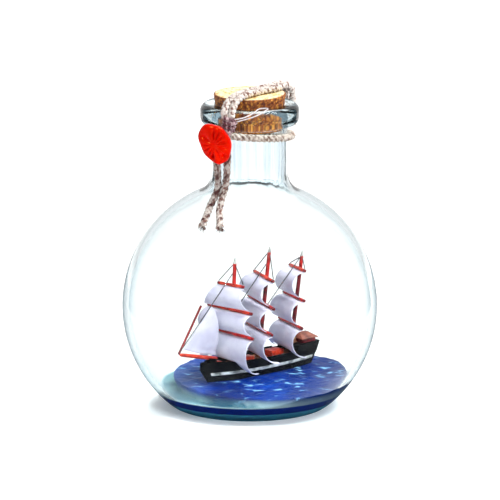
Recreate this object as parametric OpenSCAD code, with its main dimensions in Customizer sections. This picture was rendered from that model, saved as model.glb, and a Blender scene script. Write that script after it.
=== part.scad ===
// Ship in a bottle: a three-masted ship on a putty sea inside a round corked glass bottle.
// Origin at the centre of the bottle's base, +Z up, +X to the right, -Y to the front. Millimetres.

/* [Bottle] */
// Outer diameter of the round body
body_d = 102; // [100:1:104]
// Thickness of the glass
glass_t = 2.5; // [2:0.1:2.6]
// Height of the body's centre above the flat base
body_z = 40.6; // [40:0.1:41.5]
// Outer diameter of the neck
neck_d = 30.4; // [30:0.1:31]
// Outer diameter of the rounded lip
lip_d = 39.6; // [38:0.1:40]
// Height of the lip's top
lip_top_z = 123.5; // [122:0.1:124]

/* [Cork and cord] */
// Diameter of the cork's top
cork_top_d = 28.8; // [28:0.1:29.4]
// Diameter of the cork's lower end
cork_end_d = 24.6; // [24:0.1:25.2]
// Height that the cork stands proud of the lip
cork_proud = 4; // [3:0.1:5]
// Thickness of the twisted cord
cord_d = 3; // [2.8:0.1:3.1]

/* [Ship] */
// Length of the hull at the rail
hull_l = 57; // [54:1:58]
// Beam of the hull
hull_b = 14; // [13:0.5:15]
// Direction that the bow points, from +X towards +Y
heading = 220; // [215:1:225]
// Depth that the sails belly forward
belly = 5.6; // [4.5:0.1:5.7]
// Distance from the mast hinges to the deck
hinge_h = 2; // [1.9:0.1:2.2]

/* [Hidden] */
$fn = 64;

// Bottle
body_r = body_d / 2;
bore_r = neck_d / 2 - glass_t + 0.5;
inner_r = body_r - glass_t;
floor_z = 4.5;
neck_r = neck_d / 2;
shoulder_round = 9;
lip_r = lip_d / 2;
lip_h = 8.4;
lip_mid_z = lip_top_z - lip_h / 2;
eps = 0.01;

// Cork
cork_top_z = lip_top_z + cork_proud;
cork_end_z = 113.5;
cork_taper = (cork_top_d - cork_end_d) / 2 / (cork_top_z - cork_end_z);
cork_gap = 0.08;

// Cord round the neck
cord_r = cord_d / 2;
neck_cord_z = 111.5;
neck_cord_ring = neck_r + cord_r + 0.2;
neck_cord_tilt = [-4.5, 4.1, 0];

// Routes of the cord's strands and tails, from the knot outwards
over_front = [
    [-7.4, -22.4, 122], [-6.9, -20.6, 124.6], [-5.6, -17.8, 127.4], [-3.2, -14.4, 129.1],
    [-0.3, -9.6, 129.1], [2.4, -6, 129.1], [5.2, -2.7, 129.1], [8.4, 0, 129.1], [11.2, 3.2, 129.1],
    [13.4, 7, 129.1], [15.4, 11, 128.2], [17, 14.2, 125.4], [17.2, 15, 122], [17.2, 15, 117],
    [17.2, 15, 112]
];
over_back = [
    [-9.6, -22.2, 121.4], [-10, -20.8, 124.4], [-8.6, -17.4, 127.4], [-5.6, -12.8, 129.1],
    [-2.7, -7.8, 129.1], [0, -4.2, 129.1], [3.1, -0.5, 129.1], [6.2, 2.4, 129.1], [8.8, 5.4, 129.1],
    [10.8, 9, 129.1], [12.6, 13, 128.2], [14, 16.6, 125.4], [14.2, 17.4, 122], [14.2, 17.4, 117],
    [14.2, 17.4, 112]
];
tail_left = [
    [-12.4, -21, 112.6], [-12.9, -21.1, 109], [-13.1, -21.2, 105.4], [-12.9, -21.2, 102.4],
    [-12.7, -21, 99.4], [-12.6, -20.8, 96.4], [-12.7, -20.6, 93.2], [-13.7, -20.4, 90.2],
    [-15.4, -21.2, 86.8], [-16.2, -23.4, 85], [-17.1, -25.8, 83.3], [-18, -28, 81.5], [-18.8, -30, 79.7]
];
tail_right = [
    [-9, -21.6, 112.6], [-8.8, -21.8, 109], [-8.8, -22.1, 105.4], [-9, -22.3, 102.4],
    [-9.1, -22.4, 99.4], [-9.4, -22.5, 96.4], [-10, -22.7, 93.2], [-10.8, -23, 90.4], [-11.6, -23.8, 87.4],
    [-11.9, -25.6, 85.4], [-11.9, -27.9, 83.6], [-11.8, -30.6, 81.8], [-11.7, -33.4, 79.8]
];
thread_route = [
    [-6, -22.6, 120.4], [-2.6, -22, 121.2], [0.8, -21, 122], [4, -19.4, 123], [6.4, -17.8, 124.2],
    [7.2, -16.8, 124.6], [6, -16.3, 124.7], [3.6, -17.3, 124.6], [1.6, -19.6, 123.6],
    [-0.4, -21.3, 122.8], [-3, -22.2, 122], [-6, -22.8, 121.6]
];
thread_r = 0.25;
knot_at = [-8, -23.2, 120.6];
knot_end = [-10.6, -22.2, 111.5];
seal_at = [-13.6, -24.9, 112.2];
seal_w = 13;
seal_h = 17.2;
seal_tilt = -25;
seal_t = 3.6;

// Sea: its round top stops short of the glass at the left and stands on a lower shelf
sea_z = 12.9;
shelf_z = 8.2;
sea_top_at = [5.2, -1];
sea_top_r = 36.5;

// Ship, in its own frame: +X to the bow, +Y to port, heights from the table
ship_x = 4;
bow_s = 30;
stern_s = bow_s - hull_l;
half_b = hull_b / 2;
stripe_low = 3.1;
stripe_h = 1.2;
stripe_t = 0.35;
rail_h = 7.3;
deck_h = 5.8;
wall_in = 0.7;
poop_h = 9.7;
poop_front = -14.8;
stern_foot = 0.88;
roof_h = 13.2;
stations = 18;

// Masts: [place of the hinge along the ship, height of the deck there, rake, height of the top]
FORE = [15, sea_z + deck_h, 3, 62];
MAIN = [0.4, sea_z + deck_h, 7.5, 64];
MIZZEN = [-17, sea_z + poop_h, 9, 60];
mast_r = 0.95;
mast_top_r = 0.75;
tip_h = 2.4;
pin_r = 0.3;
pin_gap = 0.05;
cheek_in = 1.05;
cheek_t = 0.5;
yard_r = 0.65;
yard_out = mast_r + yard_r;
sail_t = 0.3;
foot_angle = -70;
foot_lean = 15;
line_r = 0.2;
guy_r = 0.5;

// Yards: [height on the mast, length, angle braced from square, how far its port end dips]
FORE_YARDS = [[51.2, 12, 22, 2], [41.3, 22, 14, 2], [31.9, 27, 6, 2]];
MAIN_YARDS = [[52, 17, -12, 5], [41.5, 23, -13, 4], [31, 24, -13, 3]];
MIZZEN_YARDS = [[52.8, 12.5, -10, 3], [41.2, 17, -10, 3], [30.4, 20, -12, 3]];
// Feet of the lowest sails: [height at the corners, rise of the arch over the hull, width]
FORE_FOOT = [16.2, 6.4, 28.5];
MAIN_FOOT = [19.5, 2.6, 34];
MIZZEN_FOOT = [18, 3.7, 24];
arch_half_w = 7.8;

// Bowsprit
sprit_heel = [22.6, 22.3];
sprit_tip = [41, 26.9];
sprit_r = 0.85;

// ---------- shapes used more than once ----------

// A solid through rings of points, with the same number of points in each ring
module loft(rings) {
    n = len(rings[0]);
    m = len(rings);
    points = [for (ring = rings) each ring];
    sides = [for (i = [0 : m - 2]) for (j = [0 : n - 1])
        each [
            [i * n + j, (i + 1) * n + j, i * n + (j + 1) % n],
            [i * n + (j + 1) % n, (i + 1) * n + j, (i + 1) * n + (j + 1) % n]
        ]];
    first = [for (j = [1 : n - 2]) [0, j, j + 1]];
    last = [for (j = [1 : n - 2]) [(m - 1) * n, (m - 1) * n + j + 1, (m - 1) * n + j]];
    polyhedron(points, concat(sides, first, last));
}

function unit(v) = v / norm(v);

// A point on a smooth curve through p1 and p2, t from 0 to 1 between them
function curve_point(p0, p1, p2, p3, t) =
    0.5 * (2 * p1 + (p2 - p0) * t + (2 * p0 - 5 * p1 + 4 * p2 - p3) * t * t
        + (3 * p1 - p0 - 3 * p2 + p3) * t * t * t);

// Route points with one more between each neighbouring pair
function smooth(route) = let (n = len(route)) [
    for (i = [0 : n - 2]) each [
        route[i],
        curve_point(route[max(i - 1, 0)], route[i], route[i + 1], route[min(i + 2, n - 1)], 0.5)
    ],
    route[n - 1]
];

// A plain tube along a path
module tube(path, r, sides = 8) {
    n = len(path);
    rings = [for (i = [0 : n - 1])
        let (
            along = unit(path[min(i + 1, n - 1)] - path[max(i - 1, 0)]),
            helper = abs(along[2]) > 0.9 ? [0.3, 1, 0] : [0, 0, 1],
            across = unit(cross(helper, along)),
            up = cross(along, across)
        )
        [for (k = [0 : sides - 1])
            path[i] + r * (cos(360 * k / sides) * across + sin(360 * k / sides) * up)]];
    loft(rings);
}

// A straight round stick between two points
module stick(a, b, r) {
    v = b - a;
    translate(a)
        rotate([0, acos(v[2] / norm(v)), atan2(v[1], v[0])])
            cylinder(h = norm(v), r = r, $fn = 24);
}

// Places its children in the ship's own frame, with heights still from the table
module on_ship() {
    translate([ship_x, 0, 0])
        rotate([0, 0, heading])
            children();
}

// ---------- bottle, cork and cord ----------

module bottle() {
    color("lightcyan", 0.4)
    difference() {
        union() {
            intersection() {
                translate([0, 0, body_z])
                    sphere(r = body_r, $fn = 128);
                cylinder(h = 2 * body_r, r = 2 * body_r);
            }
            translate([0, 0, body_z])
                cylinder(h = lip_mid_z - body_z, r = neck_r);
            shoulder_ring();
            lip_ring();
        }
        intersection() {
            translate([0, 0, body_z])
                sphere(r = inner_r, $fn = 128);
            translate([0, 0, floor_z])
                cylinder(h = 2 * body_r, r = 2 * body_r);
        }
        translate([0, 0, body_z])
            cylinder(h = 2 * body_r, r = bore_r);
        mouth();
    }
}

// Fills the corner between the body and the neck
module shoulder_ring() {
    r = neck_r + shoulder_round;
    z = body_z + sqrt(pow(body_r + shoulder_round, 2) - r * r);
    touch = body_r / (body_r + shoulder_round);
    rotate_extrude($fn = 96)
        difference() {
            polygon([
                [neck_r - 1, z - 6],
                [r * touch, body_z + (z - body_z) * touch - 1],
                [r * touch, body_z + (z - body_z) * touch],
                [neck_r + eps, z],
                [neck_r - 1, z]
            ]);
            translate([r, z])
                circle(r = shoulder_round, $fn = 64);
        }
}

module lip_ring() {
    round_r = 3;
    translate([0, 0, lip_top_z - lip_h])
        rotate_extrude($fn = 96)
            union() {
                translate([neck_r - 1, 0])
                    square([lip_r - round_r - neck_r + 1, lip_h]);
                translate([lip_r - round_r, round_r])
                    circle(r = round_r, $fn = 48);
                translate([lip_r - round_r, lip_h - round_r])
                    circle(r = round_r, $fn = 48);
                translate([lip_r - round_r, round_r])
                    square([round_r, lip_h - 2 * round_r]);
            }
}

// The mouth follows the cork's taper down to where it meets the straight bore
module mouth() {
    mouth_r = cork_top_d / 2 - cork_taper * cork_proud + cork_gap;
    mouth_h = (mouth_r - bore_r) / cork_taper;
    translate([0, 0, lip_top_z - mouth_h])
        cylinder(h = mouth_h + eps, r1 = bore_r, r2 = mouth_r + cork_taper * eps);
}

module cork() {
    color("burlywood")
    translate([0, 0, cork_end_z])
        cylinder(h = cork_top_z - cork_end_z, r1 = cork_end_d / 2, r2 = cork_top_d / 2);
}

module neck_cord() {
    color("beige")
    translate([0, 0, neck_cord_z])
        rotate(neck_cord_tilt)
            rotate_extrude($fn = 96)
                translate([neck_cord_ring, 0])
                    circle(r = cord_r, $fn = 24);
}

module over_cord_front() {
    color("beige")
    difference() {
        tube(smooth(over_front), cord_r);
        cord_knot_shape();
    }
}

module over_cord_back() {
    color("beige")
    difference() {
        tube(smooth(over_back), cord_r);
        cord_knot_shape();
        tube(smooth(over_front), cord_r);
    }
}

module cord_knot_shape() {
    translate(knot_at)
        sphere(r = 2.9, $fn = 32);
    stick(knot_at, knot_end, 2);
}

module cord_knot() {
    color("beige")
    difference() {
        cord_knot_shape();
        seal_disc(0.02);
    }
}

// The seal's blank: an oval of wax between two round faces
module seal_disc(grow = 0) {
    blob_r = 9.6;
    translate(seal_at)
        rotate([-84, 0, -22])
            rotate([0, 0, seal_tilt])
                intersection() {
                    translate([0, 0, -seal_t / 2 - grow])
                        cylinder(h = seal_t + 2 * grow, r = seal_h / 2 + grow);
                    translate([blob_r - seal_w / 2, 0, -seal_t])
                        cylinder(h = 2 * seal_t, r = blob_r + grow);
                    translate([seal_w / 2 - blob_r, 0, -seal_t])
                        cylinder(h = 2 * seal_t, r = blob_r + grow);
                }
}

module wax_seal() {
    color("red")
        seal_disc();
}

module cord_tail_left() {
    color("beige")
    difference() {
        tube(smooth(tail_left), cord_r);
        seal_disc(0.02);
        cord_knot_shape();
    }
}

module cord_tail_right() {
    color("beige")
    difference() {
        tube(smooth(tail_right), cord_r);
        seal_disc(0.02);
        cord_knot_shape();
    }
}

module tie_thread() {
    color("white")
    difference() {
        tube(smooth(thread_route), thread_r);
        cord_knot_shape();
    }
}

module sea() {
    color("royalblue")
    intersection() {
        translate([0, 0, body_z])
            sphere(r = inner_r, $fn = 128);
        union() {
            translate([0, 0, floor_z])
                cylinder(h = shelf_z - floor_z, r = body_r);
            translate([sea_top_at[0], sea_top_at[1], floor_z])
                cylinder(h = sea_z - floor_z, r = sea_top_r, $fn = 128);
        }
    }
}

// ---------- hull ----------

// Half breadth of the hull as a share of the beam, from the stern at 0 to the bow at 1
function plan(u) = u > 0.45
    ? 1 - 0.96 * pow((u - 0.45) / 0.55, 2.4)
    : 1 - 0.32 * pow((0.45 - u) / 0.45, 2);

// Height of the rail above the sea, rising towards the bow
function sheer(u) = rail_h + 1.6 * pow(max(u - 0.5, 0) / 0.5, 2);

// Fullness of the hull at a height above the sea
function fullness(h) = 0.8 + 0.2 * sqrt(min(h / rail_h, 1));

// Place along the ship at a height, so that the stem and the stern lean outwards
function hull_s(u, h) =
    let (share = min(h / rail_h, 1.3))
    stern_s * (stern_foot + (1 - stern_foot) * share) * (1 - u) + (bow_s - 3 + 3 * share) * u;

function hull_point(u, h, side, grow = 0) =
    [hull_s(u, h), side * (half_b * plan(u) * fullness(h) + grow), sea_z + h];

// Cross-section between two heights
function hull_ring(u, low, high, grow = 0) = let (mid = (low + high) / 2) [
    hull_point(u, low, 1, grow), hull_point(u, mid, 1, grow), hull_point(u, high, 1, grow),
    hull_point(u, high, -1, grow), hull_point(u, mid, -1, grow), hull_point(u, low, -1, grow)
];

module hull_shape(low, high, grow = 0, from = 0, to = 1, follow_sheer = false) {
    loft([for (i = [0 : stations])
        let (u = from + (to - from) * i / stations)
        hull_ring(u, low, follow_sheer ? high + sheer(u) - rail_h : high, grow)]);
}

// The space between the hull's walls, down to the underside of the deck
module hull_well(gap = 0) {
    hull_shape(deck_h - 0.5, rail_h + 3, grow = -wall_in - gap, from = 0.03, to = 0.95);
}

module hull_walls() {
    difference() {
        hull_shape(0, rail_h, follow_sheer = true);
        hull_well();
    }
}

module hull() {
    color("black")
    on_ship()
        hull_walls();
}

module hull_stripes() {
    color("white")
    on_ship()
    difference() {
        hull_shape(stripe_low, stripe_low + stripe_h, grow = stripe_t, from = 0.03, to = 0.96);
        hull_shape(0, rail_h, follow_sheer = true);
    }
}

module deck() {
    color("sienna")
    on_ship()
        intersection() {
            hull_well(0.02);
            translate([-hull_l, -hull_b, sea_z])
                cube([2 * hull_l, 2 * hull_b, deck_h]);
        }
}

// Caps along both rails of the main deck
module rails() {
    first = 0.27;
    color("black")
    on_ship()
        for (side = [-1, 1])
            loft([for (i = [0 : stations])
                let (
                    u = first + (0.94 - first) * i / stations,
                    h = sheer(u),
                    at = hull_point(u, h, side, -wall_in / 2)
                )
                [for (corner = [[-0.4, 0.04], [0.4, 0.04], [0.4, 0.5], [-0.4, 0.5]])
                    at + [0, corner[0], corner[1]]]]);
}

// Raised stern, standing on the rails and filling the hull behind its front
module quarterdeck() {
    top_u = (poop_front - stern_s) / hull_l;
    color("black")
    on_ship()
        hull_shape(rail_h, poop_h, from = 0, to = top_u);
}

module stern_cabin() {
    color("maroon")
    on_ship()
        translate([stern_s + 0.6, -4.2, sea_z + poop_h])
            cube([7.2, 8.4, 1.4]);
}

// Hipped roof over the cabin
module cabin_roof() {
    low_z = sea_z + poop_h + 1.4;
    color("brown")
    on_ship()
        loft([
            [[stern_s - 0.2, -4.8, low_z], [stern_s + 8.4, -4.8, low_z],
                [stern_s + 8.4, 4.8, low_z], [stern_s - 0.2, 4.8, low_z]],
            [[stern_s + 2, -0.8, sea_z + roof_h], [stern_s + 6.6, -0.8, sea_z + roof_h],
                [stern_s + 6.6, 0.8, sea_z + roof_h], [stern_s + 2, 0.8, sea_z + roof_h]]
        ]);
}

module deck_houses() {
    base = sea_z + deck_h;
    color("orangered")
    on_ship() {
        translate([-10.6, -2.4, base])
            cube([6, 4.8, 2.6]);
        translate([4.4, -1.9, base])
            cube([4.6, 3.8, 2]);
        translate([20.6, -1.6, base])
            cube([1.6, 3.2, 2.4]);
    }
}

module rudder() {
    color("black")
    on_ship()
        difference() {
            translate([stern_s * stern_foot - 2, -0.4, sea_z])
                cube([5, 0.8, 5.6]);
            hull_shape(0, rail_h, follow_sheer = true);
        }
}

module bowsprit_stick() {
    stick([sprit_heel[0], 0, sprit_heel[1]], [sprit_tip[0], 0, sprit_tip[1]], sprit_r);
}

module bowsprit() {
    color("orangered")
    on_ship()
        bowsprit_stick();
}

// Block on the foredeck with a groove that the bowsprit lies in
module bowsprit_bed() {
    slope = (sprit_tip[1] - sprit_heel[1]) / (sprit_tip[0] - sprit_heel[0]);
    ends = [sprit_heel[0] + 0.6, 26.8];
    base = sea_z + deck_h;
    color("black")
    on_ship()
        difference() {
            rotate([90, 0, 0])
                linear_extrude(height = 2.2, center = true)
                    polygon([
                        [ends[0], base], [ends[1], base],
                        for (s = [ends[1], ends[0]]) [s, sprit_heel[1] + (s - sprit_heel[0]) * slope]
                    ]);
            bowsprit_stick();
            hull_walls();
        }
}

// ---------- masts, yards and sails ----------

function hinge_z(mast) = mast[1] + hinge_h;

// Places its children in a mast's own frame: its hinge at the origin, +Z up the mast
module on_mast(mast) {
    on_ship()
        translate([mast[0], 0, hinge_z(mast)])
            rotate([0, -mast[2], 0])
                children();
}

// Length up the mast to a height above the table
function up_mast(mast, z) = (z - hinge_z(mast)) / cos(mast[2]);

// Two cheeks on a plate for each mast, with a hole for its pin
module mast_steps() {
    color("sienna")
    on_ship()
        for (mast = [FORE, MAIN, MIZZEN])
            translate([mast[0], 0, mast[1]])
                difference() {
                    union() {
                        translate([-1.4, -cheek_in - cheek_t, 0])
                            cube([2.8, 2 * (cheek_in + cheek_t), 0.4]);
                        for (side = [-1, 1])
                            translate([-0.9, side > 0 ? cheek_in : -cheek_in - cheek_t, 0])
                                cube([1.8, cheek_t, hinge_h + 0.8]);
                    }
                    translate([0, 0, hinge_h])
                        rotate([90, 0, 0])
                            cylinder(h = 6, r = pin_r, center = true, $fn = 24);
                }
}

module mast_pins() {
    color("gold")
    on_ship()
        for (mast = [FORE, MAIN, MIZZEN])
            translate([mast[0], 0, hinge_z(mast)])
                rotate([90, 0, 0])
                    cylinder(h = 2 * (cheek_in + cheek_t + 0.2), r = pin_r, center = true, $fn = 24);
}

// A stick with a rounded heel, a cross hole for its pin and a pointed top
module mast_shape(mast) {
    length = up_mast(mast, mast[3]);
    color("firebrick")
    on_mast(mast)
        difference() {
            union() {
                cylinder(h = length - tip_h, r1 = mast_r, r2 = mast_top_r, $fn = 32);
                sphere(r = mast_r, $fn = 32);
                translate([0, 0, length - tip_h])
                    cylinder(h = tip_h, r1 = mast_top_r, r2 = 0.15, $fn = 32);
            }
            rotate([90, 0, 0])
                cylinder(h = 6, r = pin_r + pin_gap, center = true, $fn = 24);
        }
}

// Places its children at the middle of a yard, with +Y along the yard to port
module on_yard(mast, yard) {
    on_mast(mast)
        translate([yard_out, 0, up_mast(mast, yard[0])])
            rotate([-yard[3], 0, yard[2]])
                children();
}

module yard_shape(mast, yard) {
    color("orangered")
    difference() {
        on_yard(mast, yard)
            rotate([90, 0, 0])
                cylinder(h = yard[1], r = yard_r, center = true, $fn = 24);
        on_mast(mast)
            cylinder(h = 60, r = mast_r, $fn = 32);
    }
}

// Section of a full sail: half of an oval, from its head at 90 degrees down to its foot
module sail_section(half_h, last) {
    steps = 30;
    angles = [for (i = [0 : steps]) 90 + (last - 90) * i / steps];
    polygon([
        for (i = [0 : steps]) [belly * cos(angles[i]), half_h * sin(angles[i])],
        for (i = [steps : -1 : 0])
            [(belly - sail_t) * cos(angles[i]), (half_h - sail_t) * sin(angles[i])]
    ]);
}

// A sheet that bellies forward between its head and foot, cut to a tapered outline with an arched foot
module sail_shape(mast, yard, drop, foot_w, arch = 0, last = foot_angle, lean = 0) {
    top = yard_r + 0.05;
    head_w = yard[1] - 0.6;
    wide = max(head_w, foot_w) + 1;
    low = top - drop - 0.4;
    color("ghostwhite")
    on_yard(mast, yard)
        rotate([0, lean, 0])
            intersection() {
                translate([0, 0, -drop / 2])
                    rotate([90, 0, 0])
                        linear_extrude(height = wide, center = true)
                            sail_section(drop / 2 - top, last);
                rotate([90, 0, 90])
                    translate([0, 0, -1])
                        linear_extrude(height = belly + 2)
                            polygon([
                                [-head_w / 2, 0], [head_w / 2, 0], [foot_w / 2, low],
                                [arch_half_w, low + arch], [-arch_half_w, low + arch], [-foot_w / 2, low]
                            ]);
            }
}

// Sail between a yard and the next one down
module upper_sail(mast, yards, i) {
    cos_rake = cos(mast[2]);
    sail_shape(mast, yards[i], (yards[i][0] - yards[i + 1][0]) / cos_rake, yards[i + 1][1] - 1.5);
}

// Lowest sail, down to a free foot
module low_sail(mast, yards, foot) {
    drop = (yards[2][0] - foot[0]) / cos(mast[2]);
    sail_shape(mast, yards[2], drop, foot[2], arch = foot[1], last = -90, lean = foot_lean);
}

// Two lines from the mast's top to the ends of its top yard
module lifts_shape(mast, yards) {
    yard = yards[0];
    top_h = up_mast(mast, mast[3]) - tip_h - 0.8;
    yard_h = up_mast(mast, yard[0]);
    color("dimgray")
    on_mast(mast)
        for (side = [-1, 1]) {
            reach = side * (yard[1] / 2 - 0.5);
            stick(
                [0.3, side * (mast_top_r + line_r + 0.02), top_h],
                [
                    yard_out - reach * sin(yard[2]),
                    reach * cos(yard[2]) * cos(yard[3]),
                    yard_h - reach * sin(yard[3]) + yard_r + line_r
                ],
                line_r
            );
        }
}

// ---------- jib and stays ----------

stay_top = [14.2, 55.6];
stay_foot_z = sprit_tip[1] + sprit_r + line_r;
jib_clew = [22.9, 23.8];

// Point on the forestay at a share of the way up from the bowsprit's tip
function on_stay(t) = [
    sprit_tip[0] + (stay_top[0] - sprit_tip[0]) * t,
    0,
    stay_foot_z + (stay_top[1] - stay_foot_z) * t
];

module forestay() {
    color("dimgray")
    on_ship()
        stick(on_stay(0), on_stay(1), line_r);
}

module jib() {
    head = on_stay(0.58) + [-0.6, 0, 0];
    tack = on_stay(0.03) + [-0.9, 0, 0];
    color("ghostwhite")
    on_ship()
        rotate([90, 0, 0])
            linear_extrude(height = sail_t, center = true)
                polygon([[head[0], head[2]], [tack[0], tack[2]], jib_clew]);
}

// Red line from the fore middle yard's outer end down to the bowsprit's tip
module yard_guy() {
    yard = FORE_YARDS[1];
    at = FORE[0] - (yard[0] - hinge_z(FORE)) * tan(FORE[2]) + yard_out;
    reach = -yard[1] / 2;
    head = [
        at - reach * sin(yard[2]) + 3.2, reach * cos(yard[2]) - 0.4,
        yard[0] - reach * sin(yard[3]) - 0.2
    ];
    color("firebrick")
    on_ship()
        stick(head, [sprit_tip[0] - 0.6, -1.4, sprit_tip[1]], guy_r);
}

module main_stay() {
    color("dimgray")
    on_ship()
        stick([-3.35, 0, 57], [14.2, 1.7, 41], line_r);
}

module mizzen_stay() {
    color("dimgray")
    on_ship()
        stick([-21.1, 0, 57], [-2, 1.9, 40.4], line_r);
}

// ---------- what each node draws ----------

bottle();
cork();
neck_cord();
over_cord_front();
over_cord_back();
cord_knot();
wax_seal();
cord_tail_left();
cord_tail_right();
tie_thread();
sea();
hull();
hull_stripes();
deck();
rails();
quarterdeck();
stern_cabin();
cabin_roof();
deck_houses();
rudder();
bowsprit_bed();
bowsprit();
mast_steps();
mast_pins();
mast_shape(FORE);  // fore_mast
mast_shape(MAIN);  // main_mast
mast_shape(MIZZEN);  // mizzen_mast
yard_shape(FORE, FORE_YARDS[0]);  // fore_top_yard
yard_shape(FORE, FORE_YARDS[1]);  // fore_middle_yard
yard_shape(FORE, FORE_YARDS[2]);  // fore_low_yard
yard_shape(MAIN, MAIN_YARDS[0]);  // main_top_yard
yard_shape(MAIN, MAIN_YARDS[1]);  // main_middle_yard
yard_shape(MAIN, MAIN_YARDS[2]);  // main_low_yard
yard_shape(MIZZEN, MIZZEN_YARDS[0]);  // mizzen_top_yard
yard_shape(MIZZEN, MIZZEN_YARDS[1]);  // mizzen_middle_yard
yard_shape(MIZZEN, MIZZEN_YARDS[2]);  // mizzen_low_yard
upper_sail(FORE, FORE_YARDS, 0);  // fore_top_sail
upper_sail(FORE, FORE_YARDS, 1);  // fore_middle_sail
low_sail(FORE, FORE_YARDS, FORE_FOOT);  // fore_low_sail
upper_sail(MAIN, MAIN_YARDS, 0);  // main_top_sail
upper_sail(MAIN, MAIN_YARDS, 1);  // main_middle_sail
low_sail(MAIN, MAIN_YARDS, MAIN_FOOT);  // main_low_sail
upper_sail(MIZZEN, MIZZEN_YARDS, 0);  // mizzen_top_sail
upper_sail(MIZZEN, MIZZEN_YARDS, 1);  // mizzen_middle_sail
low_sail(MIZZEN, MIZZEN_YARDS, MIZZEN_FOOT);  // mizzen_low_sail
lifts_shape(FORE, FORE_YARDS);  // fore_lifts
lifts_shape(MAIN, MAIN_YARDS);  // main_lifts
lifts_shape(MIZZEN, MIZZEN_YARDS);  // mizzen_lifts
jib();
forestay();
yard_guy();
main_stay();
mizzen_stay();
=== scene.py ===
"""Looks of a ship in a bottle: glass, cork, cord, wax seal, painted ship and blue sea."""

import random
from math import asin, atan2, cos, degrees, exp, hypot, pi, radians, sin, sqrt, tan

import bpy
from mathutils import Matrix, Vector, noise


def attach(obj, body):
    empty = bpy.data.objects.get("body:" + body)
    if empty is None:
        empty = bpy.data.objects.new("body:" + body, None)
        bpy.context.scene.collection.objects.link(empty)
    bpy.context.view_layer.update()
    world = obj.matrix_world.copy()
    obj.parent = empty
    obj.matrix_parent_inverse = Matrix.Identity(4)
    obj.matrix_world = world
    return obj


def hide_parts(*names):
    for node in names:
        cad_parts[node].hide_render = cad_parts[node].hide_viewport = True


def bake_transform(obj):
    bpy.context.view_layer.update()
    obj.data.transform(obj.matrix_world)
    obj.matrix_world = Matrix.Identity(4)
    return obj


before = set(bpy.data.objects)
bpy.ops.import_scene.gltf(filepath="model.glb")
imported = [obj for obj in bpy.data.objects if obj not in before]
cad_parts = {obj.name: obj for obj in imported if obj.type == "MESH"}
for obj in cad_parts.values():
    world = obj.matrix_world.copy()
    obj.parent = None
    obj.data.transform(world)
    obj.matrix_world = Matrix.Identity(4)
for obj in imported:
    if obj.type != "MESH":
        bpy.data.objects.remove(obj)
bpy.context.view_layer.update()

# ---------- measures shared with the CAD, in millimetres and degrees ----------

BODY_R = 51.0
BODY_Z = 40.6
INNER_R = 48.5
FLOOR_Z = 4.5
NECK_R = 15.2
BORE_R = 13.2
SHOULDER_ROUND = 9.0
LIP_R = 19.8
LIP_ROUND = 3.0
LIP_LOW_Z = 115.1
LIP_TOP_Z = 123.5
CORK_TOP_R = 14.4
CORK_END_R = 12.3
CORK_TOP_Z = 127.5
CORK_END_Z = 113.5
NECK_CORD_Z = 111.5
NECK_CORD_RING = 16.9
NECK_CORD_TILT = (-4.5, 4.1)
SEA_Z = 12.9
SHELF_Z = 8.2
SEA_TOP_AT = Vector((5.2, -1, 0))
SEA_TOP_R = 36.5

OVER_FRONT = [
    (-7.4, -22.4, 122), (-6.9, -20.6, 124.6), (-5.6, -17.8, 127.4), (-3.2, -14.4, 129.1),
    (-0.3, -9.6, 129.1), (2.4, -6, 129.1), (5.2, -2.7, 129.1), (8.4, 0, 129.1), (11.2, 3.2, 129.1),
    (13.4, 7, 129.1), (15.4, 11, 128.2), (17, 14.2, 125.4), (17.2, 15, 122), (17.2, 15, 117), (17.2, 15, 112),
]
OVER_BACK = [
    (-9.6, -22.2, 121.4), (-10, -20.8, 124.4), (-8.6, -17.4, 127.4), (-5.6, -12.8, 129.1),
    (-2.7, -7.8, 129.1), (0, -4.2, 129.1), (3.1, -0.5, 129.1), (6.2, 2.4, 129.1), (8.8, 5.4, 129.1),
    (10.8, 9, 129.1), (12.6, 13, 128.2), (14, 16.6, 125.4), (14.2, 17.4, 122), (14.2, 17.4, 117),
    (14.2, 17.4, 112),
]
TAIL_LEFT = [
    (-12.4, -21, 112.6), (-12.9, -21.1, 109), (-13.1, -21.2, 105.4), (-12.9, -21.2, 102.4),
    (-12.7, -21, 99.4), (-12.6, -20.8, 96.4), (-12.7, -20.6, 93.2), (-13.7, -20.4, 90.2),
    (-15.4, -21.2, 86.8), (-16.2, -23.4, 85), (-17.1, -25.8, 83.3), (-18, -28, 81.5), (-18.8, -30, 79.7),
]
TAIL_RIGHT = [
    (-9, -21.6, 112.6), (-8.8, -21.8, 109), (-8.8, -22.1, 105.4), (-9, -22.3, 102.4),
    (-9.1, -22.4, 99.4), (-9.4, -22.5, 96.4), (-10, -22.7, 93.2), (-10.8, -23, 90.4),
    (-11.6, -23.8, 87.4), (-11.9, -25.6, 85.4), (-11.9, -27.9, 83.6), (-11.8, -30.6, 81.8),
    (-11.7, -33.4, 79.8),
]
THREAD = [
    (-6, -22.6, 120.4), (-2.6, -22, 121.2), (0.8, -21, 122), (4, -19.4, 123), (6.4, -17.8, 124.2),
    (7.2, -16.8, 124.6), (6, -16.3, 124.7), (3.6, -17.3, 124.6), (1.6, -19.6, 123.6),
    (-0.4, -21.3, 122.8), (-3, -22.2, 122), (-6, -22.8, 121.6),
]
THREAD_R = 0.25
KNOT_AT = Vector((-8, -23.2, 120.6))
KNOT_END = Vector((-10.6, -22.2, 111.5))
SEAL_AT = (-13.6, -24.9, 112.2)
SEAL_TURN = (-84, 0, -22)
SEAL_TILT = -25
SEAL_W = 13.0
SEAL_H = 17.2
SEAL_T = 3.6
SEAL_PITS = (Vector((1.6, 5.2, 0)), Vector((-3.0, 3.9, 0)))

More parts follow.
